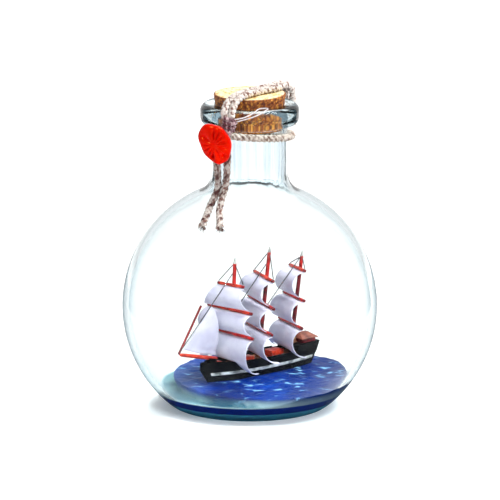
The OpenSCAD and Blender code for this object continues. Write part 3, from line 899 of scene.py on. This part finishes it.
def add_cork():
    taper = (CORK_TOP_R - CORK_END_R) / (CORK_TOP_Z - CORK_END_Z)
    profile = [(0, CORK_END_Z), (CORK_END_R - 0.5, CORK_END_Z)]
    rows = 16
    for k in range(rows + 1):
        z = CORK_END_Z + 0.5 + (CORK_TOP_Z - CORK_END_Z - 1) * k / rows
        profile.append((CORK_END_R + 0.08 + taper * (z - CORK_END_Z), z))
    profile += [(CORK_TOP_R - 0.1, CORK_TOP_Z - 0.2), (CORK_TOP_R - 0.6, CORK_TOP_Z)]
    profile += [(CORK_TOP_R * k / 6, CORK_TOP_Z) for k in range(5, 0, -1)] + [(0, CORK_TOP_Z)]
    verts, faces = revolve(profile, 96)
    rough = []
    for v in verts:
        pit = 0.22 * noise.noise(v * 0.9) + 0.12 * noise.noise(v * 2.3)
        if v.z > CORK_TOP_Z - 1.5 or v.z < LIP_TOP_Z:
            pit *= 0.35
        flat = Vector((v.x, v.y, 0))
        push = flat.normalized() * min(pit, 0) if flat.length > 1 else Vector()
        rough.append(v + push)
    top = {
        i for i, face in enumerate(faces)
        if all(rough[j].z > CORK_TOP_Z - 0.05 for j in face)
    }
    make(
        "cork_stopper", (rough, faces), "cork", ["cork_side", "cork_top"], ["cork"],
        sharp=50, face_looks=lambda i: 1 if i in top else 0
    )


def add_seal():
    """A blob of wax, creased from its middle outwards, with two pits."""
    rings = 30
    around = 144
    creases = 11

    def rim(angle):
        x, y = cos(angle), sin(angle)
        blob = 1 + 0.035 * sin(3 * angle + 1) + 0.02 * sin(7 * angle)
        return Vector((SEAL_W / 2 * x * (1 - 0.1 * y), SEAL_H / 2 * y, 0)) * blob * 0.985

    def front(share, angle, at):
        dome = 1.7 * sqrt(max(0.0, 1 - share ** 2.6))
        uneven = angle + 0.35 * sin(2 * angle + 0.6)
        valley = (1 - abs(cos(creases * uneven / 2))) ** 1.5
        crease = 1.1 * valley * exp(-((share - 0.55) / 0.27) ** 2)
        hollow = 0.45 * exp(-(share / 0.2) ** 2)
        pits = sum(1.5 * exp(-((at - pit).length / 0.8) ** 2) for pit in SEAL_PITS)
        return dome - crease - hollow - pits

    verts = []
    for j in range(rings + 1):
        share = j / rings
        for angle in circle(around):
            flat = rim(angle) * share
            z = -(SEAL_T / 2 - 1.5) - front(share, angle, flat)
            verts.append(Vector((flat.x, flat.y, max(z, -SEAL_T / 2 - 0.2))))
    back_z = SEAL_T / 2
    for shrink, z in ((0.97, back_z - 0.7), (0.88, back_z)):
        verts += [rim(angle) * shrink + Vector((0, 0, z)) for angle in circle(around)]
    faces = disc_faces(rings + 2, around)
    last = (rings + 2) * around
    faces.append(tuple(range(last, last + around)))
    place = (
        Matrix.Translation(SEAL_AT) @ turn(SEAL_TURN[2], "Z") @ turn(SEAL_TURN[1], "Y")
        @ turn(SEAL_TURN[0], "X") @ turn(SEAL_TILT, "Z")
    )
    make("wax_seal_stamp", (verts, faces), "cord_and_seal", "wax", ["wax_seal"], place=place, sharp=0)


SEA_R = 39
SEA_GROW = 0.2


def sea_height(x, y):
    """Height of the putty: waves, a bank round the hull, and a lower shelf beyond its round top."""
    local = SHIP.inverted() @ Vector((x, y, 0))
    along = max(0.0, abs(local.x - (BOW_S + STERN_S) / 2) - 24)
    near = exp(-(hypot(along, max(0.0, abs(local.y) - 5.5)) / 4.5) ** 2)
    wave = 0.55 * noise.noise(Vector((x * 0.16, y * 0.16, 3.1))) + 0.3 * noise.noise(Vector((x, y, 9)) * 0.45)
    top = SEA_Z - 0.2 + 0.8 * near + wave * (1 - 0.5 * near) - 1.2 * max(0.0, -y / SEA_R) ** 2
    edge = (Vector((x, y, 0)) - SEA_TOP_AT).length + 1.2 * wave
    drop = clamp((edge - SEA_TOP_R + 1.6) / 2.4)
    drop = drop * drop * (3 - 2 * drop)
    return top + (SHELF_Z + 0.3 * wave - top) * drop


def add_sea():
    """Blue putty pressed against the glass, with a waved top."""
    around = 240
    rings = 90
    verts = []
    for j in range(rings + 1):
        share = (j / rings) ** 0.8
        for angle in circle(around):
            x, y = cos(angle), sin(angle)
            z = sea_height(SEA_R * share * x, SEA_R * share * y)
            rim = sqrt((INNER_R + SEA_GROW) ** 2 - (z - BODY_Z) ** 2)
            verts.append(Vector((rim * share * x, rim * share * y, z)))
    sides = 8
    for j in range(1, sides + 1):
        for k in range(around):
            top = verts[rings * around + k]
            z = top.z + (FLOOR_Z - 0.02 - top.z) * j / sides
            r = sqrt((INNER_R + SEA_GROW) ** 2 - (z - BODY_Z) ** 2)
            flat = Vector((top.x, top.y)).normalized() * r
            verts.append(Vector((flat.x, flat.y, z)))
    faces = disc_faces(rings + sides, around)
    last = (rings + sides) * around
    faces.append(tuple(range(last + around - 1, last - 1, -1)))
    make("sea_putty_surface", (verts, faces), "bottle_and_ship", "sea", ["sea"], sharp=50)


# ---------- hull ----------


def plan(u):
    """Half width at a share of the length from the stern, against the widest."""
    if u > 0.45:
        return 1 - 0.96 * ((u - 0.45) / 0.55) ** 2.4
    return 1 - 0.32 * ((0.45 - u) / 0.45) ** 2


def sheer(u):
    """Height of the rail above the sea."""
    return RAIL_H + 1.6 * (max(u - 0.5, 0) / 0.5) ** 2


def fullness(h):
    """Half width at a height, against that at the rail."""
    return 0.8 + 0.2 * sqrt(clamp(h / RAIL_H))


def hull_s(u, h):
    """Place along the ship, with raked ends."""
    share = clamp(h / RAIL_H, high=1.3)
    stern = STERN_S * (STERN_FOOT + (1 - STERN_FOOT) * share)
    return stern * (1 - u) + (BOW_S - 3 + 3 * share) * u


def hull_point(u, h, side, grow=0.0):
    return Vector((hull_s(u, h), side * max(HALF_BEAM * plan(u) * fullness(h) + grow, 0.02), SEA_Z + h))


def skin(low, high, start, end, stations, levels, grow=0.0):
    """A solid band of the hull's shape between two heights, as a loft along the ship."""
    rings = []
    for i in range(stations + 1):
        u = start + (end - start) * i / stations
        heights = [low + (high - low) * k / levels for k in range(levels + 1)]
        rings.append(mirrored([hull_point(u, h, 1, grow) for h in heights]))
    return loft(rings)


def add_hull():
    stations = 60
    rings = []
    for i in range(stations + 1):
        u = i / stations
        top = sheer(u)
        outer = [top * k / 9 for k in range(10)]
        port = [hull_point(u, h, 1) for h in outer]
        inner_u = clamp(u, 0.03, 0.97)
        wall = [
            Vector((port[-1].x, max(port[-1].y - WALL_IN, 0.01), port[-1].z)),
            Vector((port[-1].x, max(hull_point(inner_u, DECK_H, 1).y - WALL_IN, 0.01), SEA_Z + DECK_H - 0.1)),
        ]
        rings.append(mirrored(port + wall))
    on_ship("hull_body", loft(rings), "black", "hull")
    top_u = (POOP_FRONT - STERN_S) / (BOW_S - STERN_S)
    on_ship("quarterdeck_block", skin(RAIL_H, POOP_H, 0, top_u, 18, 4), "black", "quarterdeck")
    deck = skin(DECK_H - 0.5, DECK_H, 0.03, 0.95, 40, 1, -WALL_IN - 0.02)
    on_ship("main_deck", deck, "deck", "deck")


def add_stripes():
    """The painted line on each side, brushed a little unevenly."""
    parts = []
    for side in (-1, 1):
        rings = []
        for i in range(91):
            u = 0.03 + 0.93 * i / 90
            wave = 0.12 * noise.noise(Vector((i * 0.35, side * 5, 0)))
            low = STRIPE_LOW + wave
            high = STRIPE_LOW + STRIPE_H + 0.1 * noise.noise(Vector((i * 0.5, side * 9, 2)))
            mid = (low + high) / 2
            section = ((low, -0.2), (low, 0.1), (mid, 0.2), (high, 0.1), (high, -0.2))
            ring = [hull_point(u, h, side, grow) for h, grow in section]
            rings.append(ring if side > 0 else list(reversed(ring)))
        parts.append(loft(rings))
    on_ship("hull_white_lines", join(parts), "white", "hull_stripes", sharp=40)


def add_rails():
    parts = []
    for side in (-1, 1):
        points = [
            hull_point(0.27 + 0.67 * i / 50, sheer(0.27 + 0.67 * i / 50) + 0.25, side, -0.35)
            for i in range(51)
        ]
        parts.append(tube(points, [0.36] * len(points), 8))
    on_ship("rail_caps", join(parts), "black", "rails", sharp=0)


def block(low, high, round_mm=0.25):
    """A box with rounded upright corners and a softened top edge."""
    middle = (Vector(low) + Vector(high)) / 2
    half = (Vector(high) - Vector(low)) / 2
    top = high[2]
    rings = []
    for z, inset in ((low[2], 0), (top - round_mm, 0), (top - 0.07, round_mm * 0.3), (top, round_mm)):
        ring = []
        for turns, (x, y) in enumerate(((1, 1), (-1, 1), (-1, -1), (1, -1))):
            back = round_mm + inset * 0.4
            corner = Vector((middle.x + x * (half.x - back), middle.y + y * (half.y - back), z))
            radius = round_mm - inset * 0.6
            ring += [corner + polar(radius, radians(90 * turns + 22.5 * k)) for k in range(5)]
        rings.append(ring)
    return loft(rings)


def add_deck_pieces():
    deck_z = SEA_Z + DECK_H
    houses = [
        block((-10.6, -2.4, deck_z), (-4.6, 2.4, deck_z + 2.6)),
        block((4.4, -1.9, deck_z), (9, 1.9, deck_z + 2)),
        block((20.6, -1.6, deck_z), (22.2, 1.6, deck_z + 2.4)),
    ]
    on_ship("deck_house_blocks", join(houses), "orange", "deck_houses")
    poop_z = SEA_Z + POOP_H
    cabin = block((STERN_S + 0.6, -4.2, poop_z), (STERN_S + 7.8, 4.2, poop_z + 1.4), 0.5)
    on_ship("cabin_walls", cabin, "maroon", "stern_cabin")
    low_z = poop_z + 1.4
    top_z = SEA_Z + ROOF_H
    rings = []
    for z, aft, fore, half in (
        (low_z, -0.2, 8.4, 4.8), (low_z + 0.3, -0.2, 8.4, 4.8),
        (top_z - 0.1, 1.9, 6.7, 0.9), (top_z, 2.2, 6.4, 0.6)
    ):
        corners = ((aft, -half), (fore, -half), (fore, half), (aft, half))
        rings.append([Vector((STERN_S + x, y, z)) for x, y in corners])
    roof = on_ship("cabin_hipped_roof", loft(rings), "brown", "cabin_roof", sharp=30)
    bevel = roof.modifiers.new("soft_edges", "BEVEL")
    bevel.width = 0.00015
    bevel.segments = 2


def add_bowsprit():
    points = [SPRIT_HEEL.lerp(SPRIT_TIP, t) for t in (0, 0.02, 0.3, 0.6, 0.9, 0.97, 1)]
    radii = [0.6, SPRIT_R, SPRIT_R, SPRIT_R * 0.95, SPRIT_R * 0.9, SPRIT_R * 0.8, 0.35]
    on_ship("bowsprit_spar", tube(points, radii, 20), "orange", "bowsprit", sharp=50)


# ---------- masts, yards and sails ----------

YARD_TIP = 1.1
YARD_SIDES = 20


def yard_shape(length):
    """A round spar along Y, with its darker tips as separate bands of faces."""
    half = length / 2
    stops = [-half, -half + 0.12, -half + YARD_TIP, -half + YARD_TIP + 0.05, -half * 0.4, 0]
    stops += [-s for s in reversed(stops[:-1])]
    points = [Vector((0, s, 0)) for s in stops]
    ends = [0.7, 0.96, 0.98, 1, 1, 1, 1, 1, 0.98, 0.96, 0.7]
    return tube(points, [YARD_R * e for e in ends], YARD_SIDES), len(stops) - 1


def add_yards(name, rig):
    for level, yard in zip(LEVELS, rig["yards"]):
        shape, bands = yard_shape(yard[1])

        def look_of(index):
            return int(not 2 <= index // YARD_SIDES < bands - 2)

        low = level == "low" or (level == "middle" and name != "fore")
        main = "red" if low else "orange"
        make(
            f"{name}_{level}_spar", shape, f"{name}_rig", [main, "maroon"],
            [f"{name}_{level}_yard"], place=yard_frame(rig["mast"], yard),
            sharp=50, face_looks=look_of
        )


def add_mast(name, rig):
    mast = rig["mast"]
    length = up_mast(mast, mast[3])
    profile = [(0, -MAST_R), (0.5, -0.82), (0.8, -0.5), (MAST_R, 0)]
    shaft = length - MAST_TIP
    # Painted shade: below the top yard, between the sails, the pole takes the maroon paint; above it is red,
    # with the pale tip.
    dark = up_mast(mast, rig["yards"][0][0]) / shaft
    profile += [(MAST_R + (MAST_TOP_R - MAST_R) * t, shaft * t) for t in (0.3, 0.6, dark, 1)]
    profile += [(MAST_TOP_R * 0.92, shaft + 0.12), (0.42, shaft + 1.2), (0.15, length - 0.08), (0, length)]
    sides = 28
    shape = revolve(profile, sides)
    verts, faces = shape

    def look_of(index):
        low = min(verts[j].z for j in faces[index])
        return 2 if low > shaft - 0.01 else 1 if low > dark * shaft - 0.01 else 0

    make(
        f"{name}_mast_pole", shape, f"{name}_rig", ["maroon", "red", "tip"], [f"{name}_mast"],
        place=mast_frame(mast), sharp=45, face_looks=look_of
    )


def sail_sheet(yard, drop, foot_w, arch, last, seed):
    """A full sail of half-oval section hung from a yard, with a little life in its edges."""
    top = YARD_R + 0.05
    high = drop / 2 - top - SAIL_T / 2
    deep = BELLY - SAIL_T / 2
    head_w = yard[1] - 0.6
    low = -drop + top - 0.4

    def point(u, v):
        y_foot = (u - 0.5) * foot_w
        rise = arch * clamp((foot_w / 2 - abs(y_foot)) / (foot_w / 2 - ARCH_HALF_W))
        cut = degrees(asin(clamp((low + rise + drop / 2) / high, -1.0)))
        foot = max(last, cut)
        angle = radians(90 + (foot - 90) * v)
        z = high * sin(angle) - drop / 2
        width = head_w + (foot_w - head_w) * z / low
        y = (u - 0.5) * width
        full = sin(pi * v)
        edge = abs(u - 0.5) * 2
        ripple = 0.1 * noise.noise(Vector((y * 0.22, v * 2.2, seed * 3.7)))
        out = 1 + full * (0.045 * (1 - edge ** 2) - 0.03 + ripple * 0.15)
        return (deep * out * cos(angle), y * (1 - 0.03 * full), z)

    curve_r = hypot(high, deep) / sqrt(2)
    return grid(36, 24, point), (max(head_w, foot_w), curve_r * radians(90 - last))


def add_sails(name, rig):
    mast = rig["mast"]
    cos_rake = cos(radians(mast[2]))
    for i, (level, yard) in enumerate(zip(LEVELS, rig["yards"])):
        place = yard_frame(mast, yard)
        if level == "low":
            foot_z, arch, foot_w = rig["foot"]
            last = -90
            place = place @ turn(FOOT_LEAN, "Y")
        else:
            foot_z = rig["yards"][i + 1][0]
            foot_w = rig["yards"][i + 1][1] - 1.5
            arch = 0
            last = FOOT_ANGLE
        drop = (yard[0] - foot_z) / cos_rake
        shape, flat = sail_sheet(yard, drop, foot_w, arch, last, i + len(name))
        canvas(
            f"{name}_{level}_canvas", shape, f"{name}_rig", f"{name}_{level}_sail", place,
        )


def on_stay(t):
    """Point on the forestay at a share of the way up from the bowsprit's tip."""
    return (SPRIT_TIP + Vector((0, 0, SPRIT_R + LINE_R))).lerp(STAY_TOP, t)


def add_head_rigging():
    """The jib, the forestay and the red line, between the fixed bowsprit and the folding mast."""
    head = on_stay(0.58) + Vector((-0.6, 0, 0))
    tack = on_stay(0.03) + Vector((-0.9, 0, 0))

    def jib_point(u, v):
        luff = tack.lerp(head, v)
        leech = JIB_CLEW.lerp(head, v)
        flat = luff.lerp(leech, u)
        billow = 3.2 * u ** 1.4 * sin(pi * min(1.0, (1 - v) * 1.1) ** 0.8) ** 0.7
        crease = 0.12 * noise.noise(Vector((flat.x * 0.3, flat.z * 0.25, 4)))
        return flat + Vector((0, billow + crease * (1 - v), -0.5 * sin(pi * u) * (1 - v)))

    jib_shape = grid(24, 30, lambda u, v: jib_point(u, v * 0.985))
    jib = canvas("jib_canvas", jib_shape, None, "jib", SHIP)
    stay = make(
        "forestay_line", tube([on_stay(t / 12) for t in range(13)], [LINE_R] * 13, 8), None,
        "rigging", ["forestay"], place=SHIP, sharp=0
    )
    guy = make("yard_guy_line", guy_shape(), None, "red_thread", ["yard_guy"], place=SHIP, sharp=0)
    for obj in (jib, stay, guy):
        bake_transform(obj)


def guy_shape():
    mast = RIGS["fore"]["mast"]
    yard = RIGS["fore"]["yards"][1]
    brace, dip = radians(yard[2]), radians(yard[3])
    at = mast[0] - (yard[0] - mast[1] - HINGE_H) * tan(radians(mast[2])) + YARD_OUT
    reach = -yard[1] / 2
    start = Vector((
        at - reach * sin(brace) + 3.2, reach * cos(brace) - 0.4,
        yard[0] - reach * sin(dip) - 0.2
    ))
    end = SPRIT_TIP + Vector((-0.6, -1.4, 0))
    return tube([start.lerp(end, t / 14) for t in range(15)], [GUY_R] * 15, 10)


def dress_cad_nodes():
    """Finishes for the CAD pieces that stay as they are."""
    looks = {
        "bowsprit_bed": "black", "rudder": "black", "mast_steps": "deck", "mast_pins": "brass",
        "main_stay": "rigging", "mizzen_stay": "rigging",
        "fore_lifts": "rigging", "main_lifts": "rigging", "mizzen_lifts": "rigging",
    }
    for node, look in looks.items():
        mesh = bpy.data.objects[node].data
        mesh.materials.clear()
        mesh.materials.append(LOOKS[look])


# ---------- build everything ----------

add_camera()
add_cords()
add_world()
add_floor()
add_cards()
set_render()
add_light("key", (0.7, 0.1, 1.5), 0.6, 25, (1.0, 0.985, 0.96))
add_light("fill", (0.8, -1.3, 1.0), 0.5, 13, (0.94, 0.95, 1.0), glints=False)
add_light("spark", (-0.6, -1.3, 0.9), 0.12, 12, (1.0, 0.98, 0.95), lights=False)
add_bottle()
add_cork()
add_seal()
add_sea()
add_hull()
add_stripes()
add_rails()
add_deck_pieces()
add_bowsprit()
for rig_name, rig_data in RIGS.items():
    add_mast(rig_name, rig_data)
    add_yards(rig_name, rig_data)
    add_sails(rig_name, rig_data)
add_head_rigging()
dress_cad_nodes()
